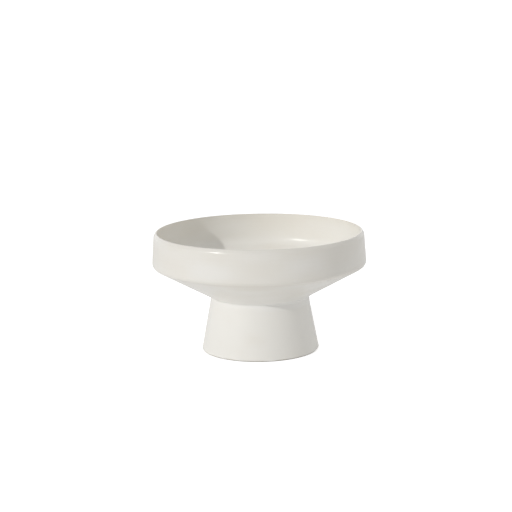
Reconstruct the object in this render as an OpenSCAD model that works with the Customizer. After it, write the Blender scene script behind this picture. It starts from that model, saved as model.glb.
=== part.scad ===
// Footed compote bowl in glazed stoneware.
// Every piece is a solid of revolution about Z, in millimetres, standing on z = 0.
// A profile is a list of corners [radius, height, round]. It runs with the clay on its left.

/* [Bowl] */
// Diameter of the shoulder, measured at the corner before it is rounded
shoulder_d = 250; // [236:1:280]
// Height of that corner above the table
shoulder_h = 101.5; // [92:0.5:112]
// Diameter at the rim, before the lip is bevelled
rim_d = 244.5; // [226:0.5:256]
// Overall height, from the table to the rim
height = 140; // [128:1:165]
// Thickness of the wall at the shoulder, glaze included
wall_t = 5.5; // [4:0.1:7]
// Thickness of the wall at the rim, before the lip is bevelled, glaze included
lip_t = 3.7; // [3:0.1:5.5]
// Height of the bevel that thins the outside of the lip
bevel_h = 4; // [3:0.1:8]
// Width of that bevel
bevel_w = 2; // [1:0.1:2.6]
// Round where the bevel leaves the wall
bevel_round = 5; // [2:0.5:9]
// Thickness of the floor over the foot, glaze included
floor_t = 8; // [6:0.1:11]
// Round on the outside of the shoulder
shoulder_round = 5.5; // [3:0.5:14]
// Round on the inside, where the wall turns into the floor
inner_round = 12; // [6:0.5:20]
// Round where the sloping floor runs out level
floor_round = 60; // [20:1:80]

/* [Foot] */
// Diameter of the foot at the table
foot_d = 137.5; // [124:0.5:160]
// Diameter of the neck, where the foot meets the bowl
neck_d = 113.5; // [100:0.5:122]
// Height of the neck above the table
neck_h = 63.5; // [54:0.5:72]
// Thickness of the foot's clay wall
foot_t = 6; // [4.5:0.1:8]
// Round on both edges of the ring that the foot stands on
foot_edge = 1.2; // [0.6:0.1:1.6]

/* [Joint] */
// Thickness of the bed of slip between the foot's top and the bowl
slip_bed = 1; // [0.6:0.1:1.6]
// Radius of the fillet of slip round the neck
neck_fillet = 2.5; // [2:0.5:8]
// Radius of the fillet of slip inside the foot
well_fillet = 5; // [2:0.5:8]
// Height of the spigot under the bowl that centres the foot
spigot_h = 3; // [2:0.1:4.5]
// Gap round the spigot that the slip fills
spigot_gap = 0.6; // [0.3:0.1:1]

/* [Glaze] */
// Thickness of the fired glaze
glaze_t = 0.5; // [0.3:0.1:0.8]
// Height of the bare band outside the foot
bare_h = 1.8; // [1.7:0.1:4]
// Height of the bare band inside the foot
well_bare_h = 4; // [2:0.5:8]

/* [Hidden] */
// Facets round each solid, and steps in each rounded corner
round_facets = 180;
corner_steps = 14;
// Shares of the lip's flat top that its outer and its inner round take
lip_outer_share = 0.5;
lip_inner_share = 0.3;
glaze_colour = "#EFECE6";
clay_colour = "#E7E4DD";
slip_colour = "#E9E6DF";

// Unit vector from a to b, its left-hand normal, and the cross product of two vectors
function towards(a, b) = (b - a) / norm(b - a);
function left_of(u) = [-u[1], u[0]];
function cross_2d(u, v) = u[0] * v[1] - u[1] * v[0];
function spot(corner) = [corner[0], corner[1]];
function round_of(corner) = len(corner) > 2 ? corner[2] : 0;
function backwards(list) = [for (i = [len(list) - 1 : -1 : 0]) list[i]];

// Half the angle between the two sides that meet at the corner q
function half_angle(p, q, s) = acos(towards(q, p) * towards(q, s)) / 2;

// Points of the arc that rounds the corner q between p and s
function rounded(p, q, s, radius) =
    let (
        u = towards(q, p),
        v = towards(q, s),
        half = half_angle(p, q, s),
        start = q + u * radius / tan(half),
        centre = q + (u + v) / norm(u + v) * radius / sin(half),
        from = start - centre,
        turn = (cross_2d(u, v) > 0 ? -1 : 1) * (180 - 2 * half)
    )
    [
        for (i = [0 : corner_steps])
            let (angle = turn * i / corner_steps)
            centre + [
                from[0] * cos(angle) - from[1] * sin(angle),
                from[0] * sin(angle) + from[1] * cos(angle)
            ]
    ];

// A list of corners as the points of its outline, with the rounds put in
function outline(corners) = [
    for (i = [0 : len(corners) - 1])
        let (q = spot(corners[i]), radius = round_of(corners[i]))
        each radius > 0
            ? rounded(spot(corners[i - 1]), q, spot(corners[i + 1]), radius)
            : [q]
];

// The same corners moved by depth to their left, with each round following its centre
function inset(corners, depth) = [
    for (i = [0 : len(corners) - 1])
        let (
            q = spot(corners[i]),
            u = i > 0 ? towards(spot(corners[i - 1]), q) : towards(q, spot(corners[1])),
            v = i < len(corners) - 1 ? towards(q, spot(corners[i + 1])) : u,
            normals = left_of(u) + left_of(v),
            moved = q + normals * 2 * depth / (normals * normals),
            radius = round_of(corners[i])
        )
        [moved[0], moved[1], radius > 0 ? radius - sign(cross_2d(u, v)) * depth : 0]
];

// The point where the line through a and b reaches a height
function at_height(a, b, z) = [a[0] + (b[0] - a[0]) * (z - a[1]) / (b[1] - a[1]), z];

// The glazed outside, from the table to the rim
foot_corner = [foot_d / 2, 0];
neck_corner = [neck_d / 2, neck_h, neck_fillet];
shoulder_corner = [shoulder_d / 2, shoulder_h, shoulder_round];
rim_outer = [rim_d / 2, height];
rim_inner = [rim_d / 2 - lip_t, height];
bevel_corner = concat(at_height(spot(shoulder_corner), rim_outer, height - bevel_h), bevel_round);
bevel_top = [rim_d / 2 - bevel_w, height];

// The glazed inside: the wall thickens from lip to shoulder, and the floor follows the underside
inner_shoulder = let (corner = inset([neck_corner, shoulder_corner, rim_outer], wall_t)[1])
    [corner[0], corner[1], inner_round];
floor_z = neck_h + floor_t;
floor_edge = let (
        slope = spot(neck_corner) - spot(shoulder_corner),
        corner = at_height(spot(inner_shoulder), spot(inner_shoulder) + slope, floor_z)
    )
    [corner[0], corner[1], floor_round];
floor_middle = [0, floor_z];

// The bevel leaves a narrow flat top, and the two glazes meet on it between its two rounds
top_w = lip_t - bevel_w;
outer_half = half_angle(spot(bevel_corner), bevel_top, rim_inner);
inner_half = half_angle(bevel_top, rim_inner, spot(inner_shoulder));
lip_outer = concat(bevel_top, top_w * lip_outer_share * tan(outer_half));
lip_inner = concat(rim_inner, top_w * lip_inner_share * tan(inner_half));
crest = [bevel_top[0] - top_w * (1 + lip_outer_share - lip_inner_share) / 2, height];

// Faces of the clay under the glaze
clay_bowl = inset(
    [
        neck_corner, shoulder_corner, bevel_corner, lip_outer,
        lip_inner, inner_shoulder, floor_edge, floor_middle
    ],
    glaze_t
);
clay_neck = inset([foot_corner, neck_corner, shoulder_corner], glaze_t);
seat = spot(clay_neck[1]);
seat_z = seat[1];
foot_top_z = seat_z - slip_bed;
spigot_z = seat_z - spigot_h;

// The foot's clay wall, outside and inside, as two straight lines
foot_outside = [spot(clay_neck[0]), seat];
foot_inside = let (line = inset(foot_outside, foot_t)) [spot(line[0]), spot(line[1])];
function foot_outside_at(z) = at_height(foot_outside[0], foot_outside[1], z);
function foot_inside_at(z) = at_height(foot_inside[0], foot_inside[1], z);
spigot_r = foot_inside_at(foot_top_z)[0] - spigot_gap;

// The inside of the foot, from the middle of its ceiling down to the glaze line
well_ceiling = foot_inside_at(spigot_z);
well_clay = [
    [0, spigot_z],
    [well_ceiling[0], spigot_z, well_fillet + glaze_t],
    foot_inside_at(well_bare_h)
];

// A ring or disc with the given outline as its section
module turned(points) {
    rotate_extrude($fn = round_facets) polygon(points);
}

// A coat of glaze, from a glazed face down to the clay under it
module coat(corners, depth) {
    turned(concat(outline(corners), backwards(outline(inset(corners, depth)))));
}

// The thrown bowl, with a flat base and the spigot that centres the foot
module bowl() {
    body = [for (i = [1 : len(clay_bowl) - 1]) clay_bowl[i]];
    color(clay_colour) turned(concat(
        [[0, spigot_z], [spigot_r, spigot_z], [spigot_r, seat_z]],
        outline(concat([seat], body))
    ));
}

// The hollow tapered foot, standing on a bare ground ring
module foot() {
    ring_outside = foot_outside_at(0);
    ring_inside = foot_inside_at(0);
    color(clay_colour) turned(outline([
        foot_inside_at(foot_top_z),
        [ring_inside[0], ring_inside[1], foot_edge],
        [ring_outside[0], ring_outside[1], foot_edge],
        foot_outside_at(foot_top_z)
    ]));
}

// The slip that lutes the foot to the bowl: the bed, the fill round the spigot and both fillets
module luting_slip() {
    neck_arc = rounded(
        foot_outside[0], seat, spot(clay_bowl[1]), neck_fillet + glaze_t
    );
    well_arc = rounded(
        spot(well_clay[0]), spot(well_clay[1]), spot(well_clay[2]), round_of(well_clay[1])
    );
    color(slip_colour) turned(concat(
        neck_arc,
        [seat, [spigot_r, seat_z], [spigot_r, spigot_z]],
        well_arc,
        [foot_inside_at(foot_top_z), foot_outside_at(foot_top_z)]
    ));
}

// The coat outside, from the glaze line of the foot up to the crest of the lip
module outer_glaze() {
    glaze_line = at_height(foot_corner, spot(neck_corner), bare_h);
    color(glaze_colour)
        coat([glaze_line, neck_corner, shoulder_corner, bevel_corner, lip_outer, crest], glaze_t);
}

// The coat inside the bowl, from the crest of the lip to the middle of the floor
module liner_glaze() {
    color(glaze_colour)
        coat([crest, lip_inner, inner_shoulder, floor_edge, floor_middle], glaze_t);
}

// The coat inside the foot and over its ceiling
module well_glaze() {
    color(glaze_colour) coat(well_clay, -glaze_t);
}

bowl();
foot();
luting_slip();
outer_glaze();
liner_glaze();
well_glaze();
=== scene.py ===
# %% [markdown]
# A footed bowl in satin white glaze, dressed for its picture.
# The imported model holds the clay: a thrown bowl, a hollow foot and the slip between them.
# It also holds three coats of glaze, each one even skin half a millimetre thick.
# Fired glaze is never that even. It thins over edges, gathers in corners and rolls up where it stops.
# So the script keeps the bowl's clay and the slip as they are. It turns each coat again as a finer
# skin over the same clay, and the foot again with the grain of its ground ring.

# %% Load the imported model
import math

import bpy
import numpy as np
from mathutils import Matrix


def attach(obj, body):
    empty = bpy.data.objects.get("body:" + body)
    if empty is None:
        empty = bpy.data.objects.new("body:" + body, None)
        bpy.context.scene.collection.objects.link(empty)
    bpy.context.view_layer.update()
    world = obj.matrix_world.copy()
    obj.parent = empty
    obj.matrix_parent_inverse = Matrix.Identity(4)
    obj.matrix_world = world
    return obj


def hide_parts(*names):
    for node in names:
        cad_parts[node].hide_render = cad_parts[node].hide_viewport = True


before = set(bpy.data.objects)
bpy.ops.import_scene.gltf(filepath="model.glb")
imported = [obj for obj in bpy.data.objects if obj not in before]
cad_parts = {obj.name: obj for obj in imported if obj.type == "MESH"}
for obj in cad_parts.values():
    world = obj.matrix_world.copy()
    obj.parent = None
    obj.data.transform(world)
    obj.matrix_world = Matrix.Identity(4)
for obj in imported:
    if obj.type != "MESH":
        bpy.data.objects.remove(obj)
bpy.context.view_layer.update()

print("nodes:", sorted(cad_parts))

# %% [markdown]
# The section of the real bowl is a few straight sides joined by rounds, as the turning tool leaves it.
# It could be traced point by point, but then no size could be read or changed.
# So the sides are named sizes, in metres, and every curve is worked out from them.

# %% Sizes of the section
MM = 0.001
SHOULDER_R, SHOULDER_H, SHOULDER_ROUND = 125 * MM, 101.5 * MM, 5.5 * MM
RIM_R, HEIGHT, LIP = 122.25 * MM, 140 * MM, 3.7 * MM
BEVEL_H, BEVEL_W, BEVEL_ROUND = 4 * MM, 2 * MM, 5 * MM
WALL, FLOOR, INNER_ROUND, FLOOR_ROUND = 5.5 * MM, 8 * MM, 12 * MM, 60 * MM
FOOT_R, NECK_R, NECK_H = 68.75 * MM, 56.75 * MM, 63.5 * MM
NECK_FILLET, WELL_FILLET = 2.5 * MM, 5 * MM
FOOT_WALL, FOOT_EDGE = 6 * MM, 1.2 * MM
SLIP_BED, SPIGOT = 1 * MM, 3 * MM
GLAZE, BARE_OUTSIDE, BARE_INSIDE = 0.5 * MM, 1.8 * MM, 4 * MM
LIP_OUTER_SHARE, LIP_INNER_SHARE = 0.5, 0.3
print(f"{2 * SHOULDER_R / MM:.0f} mm wide, {HEIGHT / MM:.0f} mm tall, foot {2 * FOOT_R / MM:.1f} mm")

# %% [markdown]
# A section is a list of corners: a radius, a height and, unless the corner is sharp, its round.
# A Blender curve with rounded corners could draw the same line. But the clay under the glaze is that
# line moved in by the glaze's depth, and the depth has to be known at every point of the skin.
# So a few small functions move a list of corners sideways and turn it into rows of points.

# %% Helpers for corners and sides
def unit(v):
    """The direction of a 2-D vector."""
    return v / np.linalg.norm(v)


def left(v):
    """A 2-D vector turned a quarter turn to the left."""
    return np.array([-v[1], v[0]])


def spot(corner):
    """The radius and height of a corner, without its round."""
    return np.array(corner[:2], float)


def half_angle(p, q, s):
    """Half the angle between the sides q-p and q-s that meet at q."""
    return math.acos(unit(p - q) @ unit(s - q)) / 2


def at_height(a, b, z):
    """The point of the line through a and b at height z."""
    return a + (b - a) * (z - a[1]) / (b[1] - a[1])


# %% A section moved sideways
def inset(corners, depth):
    """The corners moved by depth to their left, so that each side stays parallel to itself.
    A corner moves along the mean of its two normals, and its round keeps its centre."""
    moved = []
    for i, corner in enumerate(corners):
        q = spot(corner)
        into = unit(q - spot(corners[i - 1])) if i else unit(spot(corners[1]) - q)
        out = unit(spot(corners[i + 1]) - q) if i < len(corners) - 1 else into
        normals = left(into) + left(out)
        turn = np.sign(into[0] * out[1] - into[1] * out[0])
        rounding = corner[2] - turn * depth if len(corner) > 2 else 0
        moved.append((*(q + normals * 2 * depth / (normals @ normals)), rounding))
    return moved


# %% A section as rows of points
def outline(corners, step, turn_step):
    """The corners as rows of points: straight sides cut into lengths of at most step, and each
    round, an arc tangent to both its sides, cut into turns of at most turn_step degrees."""
    rows = [spot(corners[0])[None]]
    for i, corner in enumerate(corners[1:], 1):
        q = spot(corner)
        arc = q[None]
        if len(corner) > 2 and corner[2] > 0:
            p, s = spot(corners[i - 1]), spot(corners[i + 1])
            half = half_angle(p, q, s)
            u, v = unit(p - q), unit(s - q)
            centre = q + unit(u + v) * corner[2] / math.sin(half)
            start = q + u * corner[2] / math.tan(half) - centre
            whole = math.pi - 2 * half
            side = -np.sign(u[0] * v[1] - u[1] * v[0])
            cuts = max(2, math.ceil(math.degrees(whole) / turn_step))
            a = side * whole * np.linspace(0, 1, cuts + 1)[:, None]
            arc = centre + start * np.cos(a) + left(start) * np.sin(a)
        before = rows[-1][-1]
        cuts = max(1, math.ceil(np.linalg.norm(arc[0] - before) / step))
        straight = before + (arc[0] - before) * np.linspace(0, 1, cuts + 1)[1:-1, None]
        rows += [straight, arc]
    return np.concatenate(rows)


def normals_of(points):
    """Unit normals along a row of points, each to the right of the way the row runs."""
    along = np.gradient(points, axis=0)
    along /= np.linalg.norm(along, axis=1)[:, None]
    return np.stack([along[:, 1], -along[:, 0]], 1)


def lengths(points):
    """The distance of each point from the first, along the row."""
    return np.concatenate([[0], np.cumsum(np.linalg.norm(np.diff(points, axis=0), axis=1))])


# %% [markdown]
# The outside climbs from the foot over the neck and the shoulder to the rim, where the last four
# millimetres are bevelled, so that the lip looks thin. The inside is the outside moved in by the
# thickness of the wall. It could be drawn apart, but then a change to one face would leave a gap
# against the other. The two glazes meet on the crest, a third of a millimetre of flat between the
# two rounds of the lip.

# %% The faces of the bowl
foot_corner, neck_corner = (FOOT_R, 0), (NECK_R, NECK_H, NECK_FILLET)
shoulder_corner = (SHOULDER_R, SHOULDER_H, SHOULDER_ROUND)
rim_outer, rim_inner = (RIM_R, HEIGHT), (RIM_R - LIP, HEIGHT)
inner_shoulder = (*inset([neck_corner, shoulder_corner, rim_outer], WALL)[1][:2], INNER_ROUND)
floor_slope = spot(neck_corner) - spot(shoulder_corner)
floor_edge = at_height(spot(inner_shoulder), spot(inner_shoulder) + floor_slope, NECK_H + FLOOR)
bevel_corner = (*at_height(spot(shoulder_corner), spot(rim_outer), HEIGHT - BEVEL_H), BEVEL_ROUND)
bevel_top, top_width = (RIM_R - BEVEL_W, HEIGHT), LIP - BEVEL_W
outer_half = half_angle(spot(bevel_corner), spot(bevel_top), spot(rim_inner))
inner_half = half_angle(spot(bevel_top), spot(rim_inner), spot(inner_shoulder))
lip_outer = (*bevel_top, top_width * LIP_OUTER_SHARE * math.tan(outer_half))
lip_inner = (*rim_inner, top_width * LIP_INNER_SHARE * math.tan(inner_half))
crest = (bevel_top[0] - top_width * (1 + LIP_OUTER_SHARE - LIP_INNER_SHARE) / 2, HEIGHT)
glaze_line = tuple(at_height(spot(foot_corner), spot(neck_corner), BARE_OUTSIDE))
outside = [glaze_line, neck_corner, shoulder_corner, bevel_corner, lip_outer, crest]
inside = [crest, lip_inner, inner_shoulder, (*floor_edge, FLOOR_ROUND), (0, NECK_H + FLOOR)]
print(f"the lip's rounds: {lip_outer[2] / MM:.2f} mm outside and {lip_inner[2] / MM:.2f} mm inside")

# %% The faces of the foot
clay_neck = inset([foot_corner, neck_corner, shoulder_corner], GLAZE)
seat_h = clay_neck[1][1]
foot_outside = [spot(clay_neck[0]), spot(clay_neck[1])]
foot_inside = [spot(c) for c in inset(foot_outside, FOOT_WALL)]
ceiling_h = seat_h - SPIGOT
ceiling_edge = (*at_height(*foot_inside, ceiling_h), WELL_FILLET + GLAZE)
well_clay = [(0, ceiling_h), ceiling_edge, tuple(at_height(*foot_inside, BARE_INSIDE))]
print(f"the hollow foot's ceiling is {ceiling_h / MM:.1f} mm above the table")

# %% [markdown]
# A hand leaves slow swells round the pot, and the glaze adds its own, a few hundredths of a millimetre
# high and a few centimetres long. They could be painted as bump, but the lip's highlight and outline
# would stay ruled. So they are moved into the skin itself, as a sum of seeded cosine waves.
# Each wave goes a whole number of times round, so the skin closes without a seam.

# %% Swells that close round the pot
def swells(seed, count, most_turns, shortest):
    """A smooth random height over angle and distance, of about unit size: the sum of `count`
    cosines, each with a whole number of turns up to most_turns and a length down to shortest."""
    rng = np.random.default_rng(seed)
    turns = rng.integers(0, most_turns + 1, count)
    per_length = rng.uniform(-1, 1, count) * 2 * np.pi / shortest
    phase = rng.uniform(0, 2 * np.pi, count)

    def height(angle, along):
        waves = turns[:, None, None] * angle + per_length[:, None, None] * along[None]
        return np.cos(waves + phase[:, None, None]).sum(0) * math.sqrt(2 / count)

    return height


# %% How uneven the glaze's face is
AROUND = 480
POTTING_SWELL, FLOW_SWELL, SPIRAL_SWELL = 0.055 * MM, 0.028 * MM, 0.006 * MM
SPIRAL_PITCH = 5.4 * MM

angle = np.arange(AROUND) * 2 * np.pi / AROUND
potting = swells(seed=3, count=6, most_turns=3, shortest=220 * MM)
flow = swells(seed=11, count=28, most_turns=9, shortest=26 * MM)


def unevenness(along):
    """How far the glaze's face stands off its drawn line, in metres, at each distance along the
    section and each angle: the potter's swell, the glaze's flow and a faint turning spiral."""
    s = along[:, None] + 0 * angle[None]
    spiral = np.sin(2 * np.pi * s / SPIRAL_PITCH - angle)
    return POTTING_SWELL * potting(angle, s) + FLOW_SWELL * flow(angle, s) + SPIRAL_SWELL * spiral


def wandering(seed, count, most_turns, most):
    """How far a glaze line strays along the wall at each angle: swells round the pot, times most."""
    return swells(seed, count, most_turns, 1.0)(angle, np.zeros((1, AROUND)))[0] * most


# %% [markdown]
# Each skin is the section carried once round the axis. A modifier could spin it, but the glaze's
# unevenness differs at every angle, so the skin is a grid of rows and angles instead.
# Rows run round the section, down one face and back up the other, so the skin is closed.
# Where a section ends on the axis, its last row is one point.

# %% A section carried round the axis
def carried_round(points, turn):
    """A section carried round the axis: x = r cos(turn), y = r sin(turn), z as it is.
    points is [row, angle, 2], a section for each angle of turn."""
    r, z = points[..., 0], points[..., 1]
    return np.stack([r * np.cos(turn), r * np.sin(turn), z], -1)


# %% A closed skin over a grid
SHARP_ANGLE = 40


def skin(name, grid, marks, on_axis):
    """A closed mesh over a grid of points [row, angle, xyz]. With on_axis its first and last rows
    are single points, and otherwise the last row joins the first. marks are values per grid point."""
    rows, around = grid.shape[:2]
    number = np.arange(rows * around).reshape(rows, around)
    if on_axis:
        number = np.clip(number - around + 1, 0, (rows - 2) * around + 1)
        keep = np.r_[0, around : (rows - 1) * around, (rows - 1) * around]
    else:
        number = np.vstack([number, number[:1]])
        keep = np.arange(rows * around)
    a, d = number[:-1], number[1:]
    quads = np.stack([a, np.roll(a, -1, 1), np.roll(d, -1, 1), d], -1)
    if on_axis:
        fans = [quads[0][:, [0, 2, 3]], quads[-1][:, [0, 1, 2]]]
        faces = quads[1:-1].reshape(-1, 4).tolist() + np.concatenate(fans).tolist()
    else:
        faces = quads.reshape(-1, 4).tolist()
    points = grid.reshape(-1, 3)[keep]
    corners = points[[face[:3] for face in faces]]
    swept = np.einsum("ij,ij->i", corners[:, 0], np.cross(corners[:, 1], corners[:, 2])).sum()
    if swept < 0:
        faces = [face[::-1] for face in faces]
    mesh = bpy.data.meshes.new(name)
    mesh.from_pydata(points.tolist(), [], faces)
    mesh.shade_smooth()
    mesh.set_sharp_from_angle(angle=math.radians(SHARP_ANGLE))
    for mark, values in marks.items():
        layer = mesh.attributes.new(mark, "FLOAT", "POINT")
        layer.data.foreach_set("value", values.reshape(-1)[keep].astype(np.float32))
    mesh.validate()
    piece = bpy.data.objects.new(name, mesh)
    bpy.context.scene.collection.objects.link(piece)
    triangles = sum(len(face) - 2 for face in faces)
    print(f"{name}: {len(points)} points, {triangles} triangles")
    return piece


# %% Hills and fades over a row of points
CENTRE_REACH = 20 * MM


def bump_at(points, spots, reach):
    """A smooth hill: exp(-(d / reach)^2), where d is each point's distance to the nearest spot."""
    apart = np.linalg.norm(points[:, None] - np.array(spots)[None], axis=2).min(1)
    return np.exp(-((apart / reach) ** 2))


def off_centre(points):
    """0 on the axis, where all angles are one point, rising to 1 at CENTRE_REACH from it."""
    return np.clip(points[:, :1] / CENTRE_REACH, 0, 1)


# %% [markdown]
# The outside coat runs from the glaze line above the table, up the foot, round the neck, out under
# the bowl, over the shoulder and the bevel and up to the crest of the lip. On the real bowl it is
# thin on the shoulder and on the bevel's edge, where it drains away, and thick in the neck, where it
# gathers over the slip. The slip was wiped with a finger, so the neck is fuller on one side.
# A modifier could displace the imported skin, but its rows are too far apart to carry the swells.

# %% How thick the outside coat lies
STEP, TURN_STEP, COARSE_STEP, COARSE_TURN = 1.8 * MM, 4, 9 * MM, 12
NECK_REACH, NECK_LEAST, NECK_MORE, FULLEST_AT = 7 * MM, -0.1 * MM, 0.85 * MM, -20
EDGE_REACH, EDGE_THINNING = 6 * MM, 0.05 * MM

air = outline(outside, STEP, TURN_STEP)
clay = outline(inset(outside, GLAZE), COARSE_STEP, COARSE_TURN)
face = normals_of(air)
along = lengths(air)
neck_hill = bump_at(air, [neck_corner[:2]], NECK_REACH)[:, None]
edge_hill = bump_at(air, [shoulder_corner[:2], bevel_top], EDGE_REACH)[:, None]
fuller_side = 0.5 + 0.5 * np.cos(angle - math.radians(FULLEST_AT))
neck_fill = NECK_LEAST + NECK_MORE * fuller_side
lift = unevenness(along - along[-1]) + neck_hill * neck_fill - EDGE_THINNING * edge_hill
print(f"outside, {1 + lift.min() / GLAZE:.2f} to {1 + lift.max() / GLAZE:.2f} of the drawn depth")

# %% [markdown]
# At the glaze line the coat was wiped back with a wet sponge, so its edge wanders and rolls under.
# It could end in a cut face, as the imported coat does, but that would catch the light as a ruled line.
# So the last rows swell a little, stray up and down, and turn into the clay as a quarter ellipse.

# %% The rolled end of a coat
EDGE_ROLL = 0.42 * MM
ROLL_TURNS = np.linspace(0, math.pi / 2, 7)[1:-1]


def rolled_end(end, out_of_clay, onwards):
    """Rows that carry a coat's last row into the clay as a quarter ellipse:
    end - out_of_clay * GLAZE * (1 - cos t) + onwards * EDGE_ROLL * sin t, for t in ROLL_TURNS."""
    return np.array([
        end - out_of_clay * GLAZE * (1 - math.cos(t)) + onwards * EDGE_ROLL * math.sin(t)
        for t in ROLL_TURNS
    ])


# %% The outside coat
LINE_WANDER, WANDER_REACH = 0.28 * MM, 7 * MM
LINE_SWELL, LINE_REACH = 0.12 * MM, 0.8 * MM

wander = wandering(seed=5, count=14, most_turns=24, most=LINE_WANDER)
low_shift = np.exp(-along / WANDER_REACH)[:, None] * wander[None]
up_foot = unit(spot(neck_corner) - spot(foot_corner))
swollen = lift + LINE_SWELL * np.exp(-along / LINE_REACH)[:, None]
outer_face = air[:, None] + face[:, None] * swollen[..., None] + up_foot * low_shift[..., None]
inner_face = np.repeat(clay[::-1][:, None], AROUND, 1)
inner_face[-1] = clay[0] + up_foot * wander[:, None] - up_foot * EDGE_ROLL
rolled = rolled_end(outer_face[0], face[0], -up_foot)
section = np.concatenate([outer_face, inner_face, rolled[::-1]])
depth = np.concatenate([1 + lift / GLAZE, np.ones((len(inner_face) + len(rolled), AROUND))])
turned = carried_round(section, angle)
outside_coat = skin("outside_coat", turned, {"glaze_depth": depth}, on_axis=False)

# %% [markdown]
# The inside coat starts at the same crest, so both coats meet in the same row of points there.
# Down the wall and over the floor it is even. It gathers in the round between the two, where the
# thickest glaze lies, a shade whiter than the rest. The swells fade out towards the middle.
# It is made the same way as the outside, but its last row is one point on the axis.

# %% The inside coat
GATHER_REACH, GATHER = 12 * MM, 0.12 * MM

air = outline(inside, STEP, TURN_STEP)
clay = outline(inset(inside, GLAZE), COARSE_STEP, COARSE_TURN)
face = normals_of(air)
wall_foot_hill = bump_at(air, [inner_shoulder[:2]], GATHER_REACH)[:, None]
edge_hill = bump_at(air, [rim_inner], EDGE_REACH)[:, None]
lift = unevenness(lengths(air)) * off_centre(air) + GATHER * wall_foot_hill - EDGE_THINNING * edge_hill
air_face = air[:, None] + face[:, None] * lift[..., None]
air_face[-1] = air[-1]
clay_face = np.repeat(clay[::-1][:, None], AROUND, 1)
section = np.concatenate([air_face[::-1], clay_face[::-1]])
depth = np.concatenate([(1 + lift / GLAZE)[::-1], np.ones((len(clay), AROUND))])
turned = carried_round(section, angle)
inside_coat = skin("inside_coat", turned, {"glaze_depth": depth}, on_axis=True)

# %% [markdown]
# The foot is hollow, and its inside was glazed too, by pouring and swilling, up to a bare band.
# It is the roughest coat: it runs in broad drips that stop unevenly above the band.
# The same functions make it, with a rougher swell and a line that strays three times as far.

# %% The coat inside the foot
WELL_STEP, WELL_TURN = 2.2 * MM, 9
WELL_WANDER, DRIP_REACH = 0.9 * MM, 9 * MM
POUR_SWELL, DRIP_SWELL, DRIP_END = 0.09 * MM, 0.15 * MM, 1.2 * MM

air = outline(inset(well_clay, -GLAZE), WELL_STEP, WELL_TURN)
clay = outline(well_clay, COARSE_STEP, COARSE_TURN)
face = normals_of(air)
along = lengths(air)
to_end = along - along[-1]
down = unit(foot_inside[0] - foot_inside[1])
wander = wandering(seed=19, count=16, most_turns=14, most=WELL_WANDER)
low_shift = np.exp(to_end / DRIP_REACH)[:, None] * wander[None]
pour = swells(seed=23, count=20, most_turns=12, shortest=30 * MM)
poured = POUR_SWELL * pour(angle, along[:, None] + 0 * angle[None])
lift = (poured + DRIP_SWELL * np.exp(to_end / DRIP_END)[:, None]) * off_centre(air)
air_face = air[:, None] + face[:, None] * lift[..., None] + down * low_shift[..., None]
air_face[0] = air[0]
rolled = rolled_end(air_face[-1], face[-1], down)
clay_face = np.repeat(clay[::-1][:, None], AROUND, 1)
clay_face[0] = clay[-1] + down * (wander + EDGE_ROLL)[:, None]
section = np.concatenate([air_face, rolled, clay_face])
depth = np.concatenate([1 + lift / GLAZE, np.ones((len(rolled) + len(clay), AROUND))])
turned = carried_round(section, angle)
well_coat = skin("well_coat", turned, {"glaze_depth": depth}, on_axis=True)

# %% [markdown]
# The foot's clay shows only as a bare ring. It was ground level on a wheel after firing, so its
# underside is flat with open pores, and its edges are soft. The pores could be bump alone, but a low
# light along the table shows a real edge. So they are dents a few hundredths of a millimetre deep,
# cut into the ring's own skin and never standing proud of it, so that it still lies flat.

# %% The foot's section
FOOT_AROUND = 720
BAND_TOP, BAND_STEP, BAND_TURN, UPPER_STEP = 6 * MM, 0.45 * MM, 12, 6 * MM

foot_angle = np.arange(FOOT_AROUND) * 2 * np.pi / FOOT_AROUND
foot_top = seat_h - SLIP_BED
ring_inside, ring_outside = at_height(*foot_inside, 0), at_height(*foot_outside, 0)
band_inside, band_outside = (tuple(at_height(*line, BAND_TOP)) for line in (foot_inside, foot_outside))
top_inside, top_outside = (tuple(at_height(*line, foot_top)) for line in (foot_inside, foot_outside))
ring_corners = [(*ring_inside, FOOT_EDGE), (*ring_outside, FOOT_EDGE)]
band = outline([band_inside, *ring_corners, band_outside], BAND_STEP, BAND_TURN)
upper = outline([band_outside, top_outside, top_inside, band_inside], UPPER_STEP, BAND_TURN)[1:-1]
print(f"the ring and its band: {len(band)} rows, the rest of the foot: {len(upper)}")

# %% [markdown]
# Two marks go with the ring's points. One is strong beside a glaze line, where fumes from the glaze
# toast the clay. The other is painted contact shade: grey over the lowest part of the ring, where it
# meets the table, strongest on its two edges and weaker on the flat between them. A material can't
# tell where a glaze line or an edge is, so the marks are worked out here and kept as attributes.

# %% The foot and its ground ring
PORE_DEPTH, PORE_SHIFT, PORE_FADE = 0.03 * MM, 0.4, 1.5 * MM
CONTACT_SHADE_REACH, CONTACT_SHADE_FLAT, TOAST_REACH = 1.8 * MM, 0.3, 0.9 * MM

grit = swells(seed=31, count=60, most_turns=520, shortest=1.1 * MM)
gritty = grit(foot_angle, lengths(band)[:, None] + 0 * foot_angle[None])
band_fade = np.clip((BAND_TOP - band[:, 1:]) / PORE_FADE, 0, 1)
dents = np.minimum(0, gritty + PORE_SHIFT) * PORE_DEPTH * band_fade
section = np.repeat(np.concatenate([band, upper])[:, None], FOOT_AROUND, 1)
section[: len(band)] += normals_of(band)[:, None] * dents[..., None]
section[..., 1] = np.maximum(section[..., 1], 0)
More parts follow.
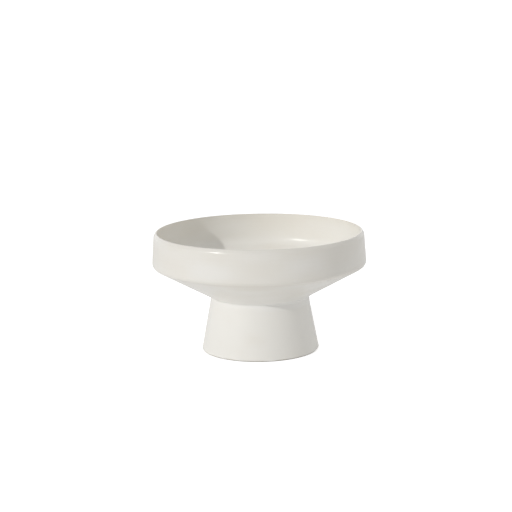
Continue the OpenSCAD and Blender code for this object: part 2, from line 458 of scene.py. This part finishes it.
# Painted contact shade: grey over the ring's lowest 1.2 mm where it meets the table, darkest on its two
# edges.
by_edge = bump_at(band, [ring_inside, ring_outside], CONTACT_SHADE_REACH)
near_table = np.clip((FOOT_EDGE - band[:, 1]) / (0.5 * FOOT_EDGE), 0, 1)
contact_shade = near_table * (CONTACT_SHADE_FLAT + (1 - CONTACT_SHADE_FLAT) * by_edge)
glaze_height = np.where(band[:, 0] > ring_inside[0] + FOOT_WALL / 2, BARE_OUTSIDE, BARE_INSIDE)
toast = np.exp(-np.abs(band[:, 1] - glaze_height) / TOAST_REACH)
blank = np.zeros((len(upper), FOOT_AROUND))
marks = {
    "painted_contact_shade": np.concatenate([contact_shade[:, None] + 0 * foot_angle, blank]),
    "by_glaze": np.concatenate([toast[:, None] + 0 * foot_angle, blank]),
}
foot_body = skin("foot_body", carried_round(section, foot_angle), marks, on_axis=False)

# %% [markdown]
# The glaze is a satin white over pale stoneware. Three things change over its surface.
# Its tone follows its depth: warmer where it is thin, whiter where it gathers, with faint clouds.
# Its sheen varies a little, because satin glaze grows fine crystals unevenly as it cools.
# Its skin has a low ripple, like orange peel, and a scatter of closed pinholes.
# An image could hold these, but it would stretch and would not follow the depth. Node groups can
# read the depth marked on each skin, so each effect is one group with its own named inputs.

# %% Helpers for shader nodes
def node(tree, kind, sockets=None, **settings):
    """A node of that kind with its settings, and each named input given a value or an output."""
    made = tree.nodes.new(kind)
    for key, value in settings.items():
        setattr(made, key, value)
    for key, value in (sockets or {}).items():
        if isinstance(value, bpy.types.NodeSocket):
            tree.links.new(value, made.inputs[key])
        else:
            made.inputs[key].default_value = value
    return made


def maths(tree, operation, *values):
    """The output of a Math node over the given numbers or outputs."""
    return node(tree, "ShaderNodeMath", dict(enumerate(values)), operation=operation).outputs[0]


def ramped(tree, value, low, high, bottom, top, kind="SMOOTHSTEP"):
    """A value carried smoothly from the range low..high to bottom..top."""
    sockets = {"Value": value, "From Min": low, "From Max": high, "To Min": bottom, "To Max": top}
    return node(tree, "ShaderNodeMapRange", sockets, interpolation_type=kind).outputs["Result"]


def mixed(tree, share, first, second):
    """A colour between first and second, by share."""
    made = node(tree, "ShaderNodeMix", {"Factor": share}, data_type="RGBA")
    for key, value in (("A", first), ("B", second)):
        socket = next(s for s in made.inputs if s.name == key and s.type == "RGBA")
        if isinstance(value, bpy.types.NodeSocket):
            tree.links.new(value, socket)
        else:
            socket.default_value = value
    return next(s for s in made.outputs if s.type == "RGBA")


NOISE_ROUGHNESS = 0.55


def noise(tree, where, scale, detail):
    """Smooth noise from 0 to 1 over the given coordinates, at that scale per metre."""
    sockets = {"Vector": where, "Scale": scale, "Detail": detail, "Roughness": NOISE_ROUGHNESS}
    return node(tree, "ShaderNodeTexNoise", sockets).outputs["Fac"]


# %% Helpers for node groups
FLOAT, COLOUR, VECTOR = "NodeSocketFloat", "NodeSocketColor", "NodeSocketVector"


def new_group(name, inputs, outputs):
    """An empty node group with the named sockets, and the outputs of its input node."""
    tree = bpy.data.node_groups.new(name, "ShaderNodeTree")
    for key, kind, value in inputs:
        socket = tree.interface.new_socket(key, in_out="INPUT", socket_type=kind)
        socket.default_value = value
    for key, kind in outputs:
        tree.interface.new_socket(key, in_out="OUTPUT", socket_type=kind)
    return tree, tree.nodes.new("NodeGroupInput").outputs, tree.nodes.new("NodeGroupOutput").inputs


# %% [markdown]
# The tone starts from the depth that each skin carries, 1 where the coat is as thick as drawn.
# Two noises are added to it, a broad one for the clouds and a close one for their edges.
# The sum picks between three whites: the thin one shows the clay, the gathered one hides it.

# %% Glaze tone, a group
BROAD_CLOUDS, CLOSE_CLOUDS, CLOSE_SHARE = 21, 130, 0.35
THIN_FROM, GATHERED_FROM = 0.62, 1.7

tone, given, result = new_group(
    "glaze_tone",
    [
        ("Where", VECTOR, (0, 0, 0)),
        ("Depth", FLOAT, 1.0),
        ("Even", COLOUR, (0.8, 0.8, 0.8, 1)),
        ("Thin", COLOUR, (0.7, 0.7, 0.6, 1)),
        ("Gathered", COLOUR, (0.85, 0.85, 0.85, 1)),
        ("Clouds", FLOAT, 0.3),
    ],
    [("Colour", COLOUR)],
)
broad = maths(tone, "SUBTRACT", noise(tone, given["Where"], BROAD_CLOUDS, detail=3), 0.5)
close = maths(tone, "SUBTRACT", noise(tone, given["Where"], CLOSE_CLOUDS, detail=2), 0.5)
both = maths(tone, "ADD", broad, maths(tone, "MULTIPLY", close, CLOSE_SHARE))
clouded = maths(tone, "ADD", given["Depth"], maths(tone, "MULTIPLY", both, given["Clouds"]))
thin = ramped(tone, clouded, THIN_FROM, 1.0, 1, 0)
gathered = ramped(tone, clouded, 1.0, GATHERED_FROM, 0, 1)
over_thin = mixed(tone, thin, given["Even"], given["Thin"])
tone.links.new(mixed(tone, gathered, over_thin, given["Gathered"]), result["Colour"])
print(f"{tone.name}: {len(tone.nodes)} nodes")

# %% [markdown]
# The skin's height is a ripple a few micrometres high, with pinholes in it: the middles of a cell
# pattern, of which only a few cells have a hole. The sheen is a roughness that drifts between two
# values, and goes rough in a hole. Both come from one group, so that they share the same holes.

# %% Glaze skin, a group
PEEL, FINE_PEEL, FINE_SHARE = 420, 1900, 0.12
PINHOLE_CELLS, PINHOLE_CORE, PINHOLE_EDGE, PINHOLE_ROUGH = 95.0, 0.012, 0.028, 0.3
CELLS_CLOSED, CELLS_OPEN = 0.80, 0.82
SHEEN_CLOUDS, SHEEN_RAMP = 33, (0.3, 0.7, 0, 1)

peel, given, result = new_group(
    "glaze_skin",
    [
        ("Where", VECTOR, (0, 0, 0)),
        ("Ripple", FLOAT, 0.000008),
        ("Pinhole", FLOAT, 0.00005),
        ("Sheen Low", FLOAT, 0.33),
        ("Sheen High", FLOAT, 0.43),
    ],
    [("Height", FLOAT), ("Roughness", FLOAT)],
)
coarse = noise(peel, given["Where"], PEEL, detail=1)
fine = noise(peel, given["Where"], FINE_PEEL, detail=1)
ripple = maths(peel, "MULTIPLY", coarse, given["Ripple"])
fine_ripple = maths(peel, "MULTIPLY", fine, given["Ripple"])
rippled = maths(peel, "ADD", ripple, maths(peel, "MULTIPLY", fine_ripple, FINE_SHARE))
cell = node(peel, "ShaderNodeTexVoronoi", {"Vector": given["Where"], "Scale": PINHOLE_CELLS})
chosen = ramped(peel, cell.outputs["Color"], CELLS_CLOSED, CELLS_OPEN, 0, 1)
dot = ramped(peel, cell.outputs["Distance"], PINHOLE_CORE, PINHOLE_EDGE, 1, 0)
hole = maths(peel, "MULTIPLY", dot, chosen)
sunk = maths(peel, "MULTIPLY", hole, given["Pinhole"])
peel.links.new(maths(peel, "SUBTRACT", rippled, sunk), result["Height"])
sheen = ramped(peel, noise(peel, given["Where"], SHEEN_CLOUDS, detail=4), *SHEEN_RAMP)
spread = maths(peel, "SUBTRACT", given["Sheen High"], given["Sheen Low"])
satin = maths(peel, "MULTIPLY_ADD", sheen, spread, given["Sheen Low"])
peel.links.new(maths(peel, "MULTIPLY_ADD", hole, PINHOLE_ROUGH, satin), result["Roughness"])
print(f"{peel.name}: {len(peel.nodes)} nodes")

# %% [markdown]
# Bare stoneware is a pale body with darker crumbs of grog in it, as rough as fine sandpaper.
# The grog is a pattern of cells about a millimetre across, and the sand between is noise.
# The two marks on the ring then tint it: toasted beside the glaze, and grey with painted contact shade
# where it meets the table.
# Each ramp below says from which values of its pattern to which, and what they become.

# %% Clay grain, a group
GROG_CELLS, SAND, CLAY_CLOUDS = 900.0, 1600, 60
PATCHINESS, SAND_HEIGHT = 0.35, 0.6
GROG_RAMP, TOAST_RAMP = (0.72, 0.9, 0, 0.7), (0.25, 0.7, 0.35, 1)
CONTACT_SHADE_RAMP, ROUGHNESS_RAMP = (0.2, 0.6, 0.7, 1), (0.3, 0.7, 0.78, 0.95)

grain, given, result = new_group(
    "clay_grain",
    [
        ("Where", VECTOR, (0, 0, 0)),
        ("Body", COLOUR, (0.7, 0.6, 0.5, 1)),
        ("Grog", COLOUR, (0.5, 0.4, 0.3, 1)),
        ("Toast", COLOUR, (0.5, 0.35, 0.2, 1)),
        ("Toasted", FLOAT, 0.0),
        ("Scuff", COLOUR, (0.3, 0.3, 0.3, 1)),
        ("Scuffed", FLOAT, 0.0),
        ("Relief", FLOAT, 0.00004),
    ],
    [("Colour", COLOUR), ("Height", FLOAT), ("Roughness", FLOAT)],
)
crumbs = node(grain, "ShaderNodeTexVoronoi", {"Vector": given["Where"], "Scale": GROG_CELLS})
speck = ramped(grain, crumbs.outputs["Color"], *GROG_RAMP)
sand = noise(grain, given["Where"], SAND, detail=3)
cloud = noise(grain, given["Where"], CLAY_CLOUDS, detail=3)
patchy = mixed(grain, maths(grain, "MULTIPLY", cloud, PATCHINESS), given["Body"], given["Grog"])
specked = mixed(grain, speck, patchy, given["Grog"])
toasted = maths(grain, "MULTIPLY", given["Toasted"], ramped(grain, cloud, *TOAST_RAMP))
over_toast = mixed(grain, toasted, specked, given["Toast"])
# The grey is painted contact shade, laid on by its mark and broken up by the sand noise.
painted_shade = maths(grain, "MULTIPLY", given["Scuffed"], ramped(grain, sand, *CONTACT_SHADE_RAMP))
grain.links.new(mixed(grain, painted_shade, over_toast, given["Scuff"]), result["Colour"])
sand_height = maths(grain, "MULTIPLY", sand, SAND_HEIGHT)
rough_height = maths(grain, "ADD", sand_height, crumbs.outputs["Distance"])
grain.links.new(maths(grain, "MULTIPLY", rough_height, given["Relief"]), result["Height"])
grain.links.new(ramped(grain, sand, *ROUGHNESS_RAMP), result["Roughness"])
print(f"{grain.name}: {len(grain.nodes)} nodes")


# %% [markdown]
# A material places the groups, gives them its own values and joins them to one shader.
# The patterns read object coordinates, in metres, so a ripple has the same size on every piece.
# The reflection's strength is a plain number on the shader, since it is the same all over a coat.

# %% Helpers for materials
def new_material(name):
    """A material with an empty tree, its shader, and the object coordinates that patterns read."""
    material = bpy.data.materials.new(name)
    material.use_nodes = True
    tree = material.node_tree
    tree.nodes.clear()
    shader = tree.nodes.new("ShaderNodeBsdfPrincipled")
    output = node(tree, "ShaderNodeOutputMaterial", {"Surface": shader.outputs["BSDF"]})
    output.is_active_output = True
    where = tree.nodes.new("ShaderNodeTexCoord").outputs["Object"]
    return material, tree, shader, where


def use(tree, group, **sockets):
    """The outputs of a node group placed in a material, with its inputs given by name."""
    made = tree.nodes.new("ShaderNodeGroup")
    made.node_tree = group
    for key, value in sockets.items():
        socket = made.inputs[key.replace("_", " ")]
        if isinstance(value, bpy.types.NodeSocket):
            tree.links.new(value, socket)
        else:
            socket.default_value = value
    return made.outputs


def finish_surface(tree, shader, colour, height, roughness):
    """Joins a group's colour, height and roughness to the shader. Height is in metres."""
    bump = node(tree, "ShaderNodeBump", {"Height": height, "Distance": 1.0, "Strength": 1.0})
    tree.links.new(colour, shader.inputs["Base Color"])
    tree.links.new(roughness, shader.inputs["Roughness"])
    tree.links.new(bump.outputs["Normal"], shader.inputs["Normal"])


# %% [markdown]
# The three coats are one glaze, but they fired a little apart. The outside is smooth, so the lamp
# draws a bright line along the lip. The inside cooled slower in the bowl's own warmth and grew more
# crystals: it is softer in sheen and mirrors less. Its whites are painted a little lighter, as painted
# light for the brighter light inside the bowl. The coat in the foot was poured and is the cloudiest.
# One function makes all three, and its arguments are what differs.

# %% The glazes
SATIN_WHITE = (0.86, 0.842, 0.795, 1)
THIN_WHITE = (0.83, 0.80, 0.735, 1)
GATHERED_WHITE = (0.875, 0.862, 0.825, 1)
# The inside's whites are raised by this share as painted light, for the brighter light inside the bowl.
INSIDE_PAINTED_LIGHT = 1.065
RIPPLE, PINHOLE, GLASS_IOR = 0.008 * MM, 0.05 * MM, 1.5


def glaze_material(name, gain, clouds, sheen_low, sheen_high, mirror):
    """Satin white glaze that reads its depth from the skin: its whites times gain, its sheen
    between two roughnesses, and mirror as the strength of its reflection, 0.5 for plain glass."""
    material, tree, shader, where = new_material(name)
    depth = node(tree, "ShaderNodeAttribute", attribute_name="glaze_depth").outputs["Fac"]
    even, thin, gathered = (
        (*(share * gain for share in white[:3]), 1)
        for white in (SATIN_WHITE, THIN_WHITE, GATHERED_WHITE)
    )
    colour = use(tree, tone, Where=where, Depth=depth, Even=even, Thin=thin, Gathered=gathered,
                 Clouds=clouds)
    surface = use(tree, peel, Where=where, Ripple=RIPPLE, Pinhole=PINHOLE,
                  Sheen_Low=sheen_low, Sheen_High=sheen_high)
    finish_surface(tree, shader, colour["Colour"], surface["Height"], surface["Roughness"])
    shader.inputs["IOR"].default_value = GLASS_IOR
    shader.inputs["Specular IOR Level"].default_value = mirror
    print(f"{name}: roughness {sheen_low} to {sheen_high}")
    return material


glaze_out = glaze_material(
    "satin_glaze", gain=1, clouds=0.28, sheen_low=0.215, sheen_high=0.26, mirror=0.5
)
glaze_in = glaze_material(
    "satin_glaze_inside", gain=INSIDE_PAINTED_LIGHT, clouds=0.28, sheen_low=0.285, sheen_high=0.32, mirror=0.36
)
glaze_well = glaze_material(
    "poured_glaze", gain=1, clouds=0.5, sheen_low=0.20, sheen_high=0.26, mirror=0.5
)

# %% [markdown]
# The clay shows in three places: the bare ring, the bowl's body and the slip that joins the two.
# The last two lie under glaze, and would be seen only if the pot were cut. The slip was sieved, so
# it is finer and paler than the thrown clay. All three share the grain, with their own relief.

# %% The clays
CLAY_BODY = (0.80, 0.775, 0.72, 1)
SLIP_BODY = (0.815, 0.791, 0.738, 1)
CLAY_GROG = (0.66, 0.61, 0.54, 1)
CLAY_TOAST = (0.76, 0.715, 0.64, 1)
# The grey below is painted contact shade, for where the ring meets the table.
CONTACT_SHADE_GREY = (0.30, 0.29, 0.27, 1)
BARE_RELIEF, THROWN_RELIEF, SLIP_RELIEF = 0.05 * MM, 0.04 * MM, 0.02 * MM


def clay_material(name, body, relief, marked=False):
    """Fired stoneware. Where its skin is marked, it is toasted by the glaze, and painted grey below as
    contact shade.
    """
    material, tree, shader, where = new_material(name)
    toasted, painted_shade = (
        node(tree, "ShaderNodeAttribute", attribute_name=mark).outputs["Fac"] if marked else 0.0
        for mark in ("by_glaze", "painted_contact_shade")
    )
    made = use(tree, grain, Where=where, Body=body, Grog=CLAY_GROG, Toast=CLAY_TOAST,
               Toasted=toasted, Scuff=CONTACT_SHADE_GREY, Scuffed=painted_shade, Relief=relief)
    finish_surface(tree, shader, made["Colour"], made["Height"], made["Roughness"])
    print(f"{name}: relief {relief / MM:.2f} mm")
    return material


bare_clay = clay_material("bare_clay", CLAY_BODY, BARE_RELIEF, marked=True)
thrown_clay = clay_material("thrown_clay", CLAY_BODY, THROWN_RELIEF)
luting_clay = clay_material("luting_slip", SLIP_BODY, SLIP_RELIEF)

# %% [markdown]
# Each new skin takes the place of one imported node, and rides on the one rigid body that there is.
# The bowl's clay and the slip are good as packed, so they only get their material.

# %% Place the pieces in the frame
for piece, node_name, slot, material in (
    (outside_coat, "outer_glaze", "glaze", glaze_out),
    (inside_coat, "liner_glaze", "glaze", glaze_in),
    (well_coat, "well_glaze", "glaze", glaze_well),
    (foot_body, "foot", "clay", bare_clay),
):
    piece.data.materials.append(material)
    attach(piece, "root")
    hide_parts(node_name)
    print(f"{piece.name} takes the place of {node_name}")
for node_name, material in (("bowl", thrown_clay), ("luting_slip", luting_clay)):
    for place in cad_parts[node_name].material_slots:
        place.material = material

# %% [markdown]
# The camera stands 1.7 metres away and looks down a little, as the photograph does.
# Its place, tilt and lens were worked out from the outline of the rim, shoulder, neck and foot.
# They could be set by eye, but each pixel is worth more than a millimetre on the pot.

# %% Camera
FOCAL_PX, PICTURE_PX, SENSOR = 1466.0, 512, 36.0
CAMERA_BACK, CAMERA_UP = 1677.7 * MM, 441.3 * MM
PITCH, YAW, ROLL = -0.1952, 0.0022, -0.0164
NEAREST, FARTHEST = 0.05, 100

lens = bpy.data.cameras.new("camera")
lens.sensor_fit = "HORIZONTAL"
lens.sensor_width = SENSOR
lens.lens = FOCAL_PX / PICTURE_PX * SENSOR
lens.clip_start, lens.clip_end = NEAREST, FARTHEST
camera = bpy.data.objects.new("camera", lens)
camera.matrix_world = (
    Matrix.Translation((0, -CAMERA_BACK, CAMERA_UP))
    @ Matrix.Rotation(YAW, 4, "Z")
    @ Matrix.Rotation(math.pi / 2 + PITCH, 4, "X")
    @ Matrix.Rotation(ROLL, 4, "Z")
)
bpy.context.scene.collection.objects.link(camera)
bpy.context.scene.camera = camera
print(f"lens {lens.lens:.1f} mm")

# %% [markdown]
# The bowl stood in a white room with one small lamp, low, to the left and in front: the shadow that
# the rim throws into the bowl has a clear edge. A very wide and weaker light from behind on the
# right keeps the far side of the pot from going flat. Area lamps could do both, but their light
# would fall off across the pot, and the photograph's doesn't. So both are far lamps, with a width.

# %% Lamps
KEY_SIDE, KEY_RISE, KEY_WIDTH, KEY_STRENGTH = 48.8, 23.6, 0.7, 1.28
FILL_SIDE, FILL_RISE, FILL_WIDTH, FILL_STRENGTH = -150, 10, 130, 0.67


def far_lamp(name, side, rise, width, strength):
    """A far lamp, side degrees to the left of the camera's direction, rise up, width across."""
    made = bpy.data.lights.new(name, "SUN")
    made.energy, made.angle = strength, math.radians(width)
    lamp = bpy.data.objects.new(name, made)
    turn = Matrix.Rotation(math.radians(-side), 4, "Z")
    lamp.matrix_world = turn @ Matrix.Rotation(math.radians(90 - rise), 4, "X")
    bpy.context.scene.collection.objects.link(lamp)
    print(f"{name}: {side} degrees to the left, {rise} up, {width} wide")


far_lamp("key", KEY_SIDE, KEY_RISE, KEY_WIDTH, KEY_STRENGTH)
far_lamp("fill", FILL_SIDE, FILL_RISE, FILL_WIDTH, FILL_STRENGTH)

# %% [markdown]
# The white room gives the rest. It has three levels: a low one for the light that it casts, so that
# the lamp's shadows stay, a higher one for what the glaze mirrors, and plain white for the camera.
# One level for all three would either bleach the pot or turn the background grey.

# %% Surround
SURROUND, MIRRORED = 0.43, 0.87

world = bpy.data.worlds.new("surround")
bpy.context.scene.world = world
world.use_nodes = True
sky = world.node_tree
sky.nodes.clear()
ray = sky.nodes.new("ShaderNodeLightPath").outputs
mirrored = ramped(sky, ray["Is Glossy Ray"], 0, 1, SURROUND, MIRRORED, "LINEAR")
seen = maths(sky, "MAXIMUM", ray["Is Camera Ray"], ray["Is Transmission Ray"])
level = ramped(sky, seen, 0, 1, mirrored, 1, "LINEAR")
light = node(sky, "ShaderNodeBackground", {"Color": (1, 1, 1, 1), "Strength": level})
node(sky, "ShaderNodeOutputWorld", {"Surface": light.outputs["Background"]})
print(f"surround: casts {SURROUND}, mirrored {MIRRORED}")

# %% [markdown]
# The floor has two parts to play as well. What the camera sees is a pale paint with a glow: it runs
# into the white background without a horizon, and darkens only where the pot keeps the light away.
# What the pot sees of it is plain white paint with a slight lift, which lights the pot from below.

# %% Floor
FLOOR_HALF, FLOOR_BELOW = 40.0, 0.02 * MM
floor_mesh = bpy.data.meshes.new("floor")
floor_mesh.from_pydata(
    [(x, y, 0) for x, y in ((-1, -1), (1, -1), (1, 1), (-1, 1))], [], [(0, 1, 2, 3)]
)
floor_mesh.transform(Matrix.Scale(FLOOR_HALF, 4))
floor_mesh.transform(Matrix.Translation((0, 0, -FLOOR_BELOW)))
floor = bpy.data.objects.new("floor", floor_mesh)
bpy.context.scene.collection.objects.link(floor)
print(f"floor {2 * FLOOR_HALF:.0f} m wide")

# %% The floor's paint
FLOOR_WHITE, FLOOR_LIFT = 0.86, 0.165
FLOOR_SEEN, FLOOR_GLOW = 0.85, 0.6


def grey(level):
    """A neutral colour of that level."""
    return (level, level, level, 1)


paint = bpy.data.materials.new("floor_white")
paint.use_nodes = True
tree = paint.node_tree
tree.nodes.clear()
ray = tree.nodes.new("ShaderNodeLightPath").outputs
seen = maths(tree, "MAXIMUM", ray["Is Camera Ray"], ray["Is Transmission Ray"])
matt = node(tree, "ShaderNodeBsdfDiffuse", {"Color": grey(FLOOR_WHITE)})
shaded = node(tree, "ShaderNodeBsdfDiffuse", {"Color": grey(FLOOR_SEEN)})
glow = node(tree, "ShaderNodeEmission", {"Color": grey(1), "Strength": FLOOR_GLOW})
shown = node(tree, "ShaderNodeAddShader", {0: shaded.outputs[0], 1: glow.outputs[0]})
lift = node(tree, "ShaderNodeEmission", {"Color": grey(1), "Strength": FLOOR_LIFT})
bright = node(tree, "ShaderNodeAddShader", {0: matt.outputs[0], 1: lift.outputs[0]})
choice = node(tree, "ShaderNodeMixShader", {0: seen, 1: bright.outputs[0], 2: shown.outputs[0]})
node(tree, "ShaderNodeOutputMaterial", {"Surface": choice.outputs[0]})
floor_mesh.materials.append(paint)
print(f"{paint.name}: {len(tree.nodes)} nodes")

# %% [markdown]
# A curve that bends the brightest tones would grey the white background, so the colours are shown
# plainly.

# %% Show the colours plainly
bpy.context.scene.view_settings.view_transform = "Standard"
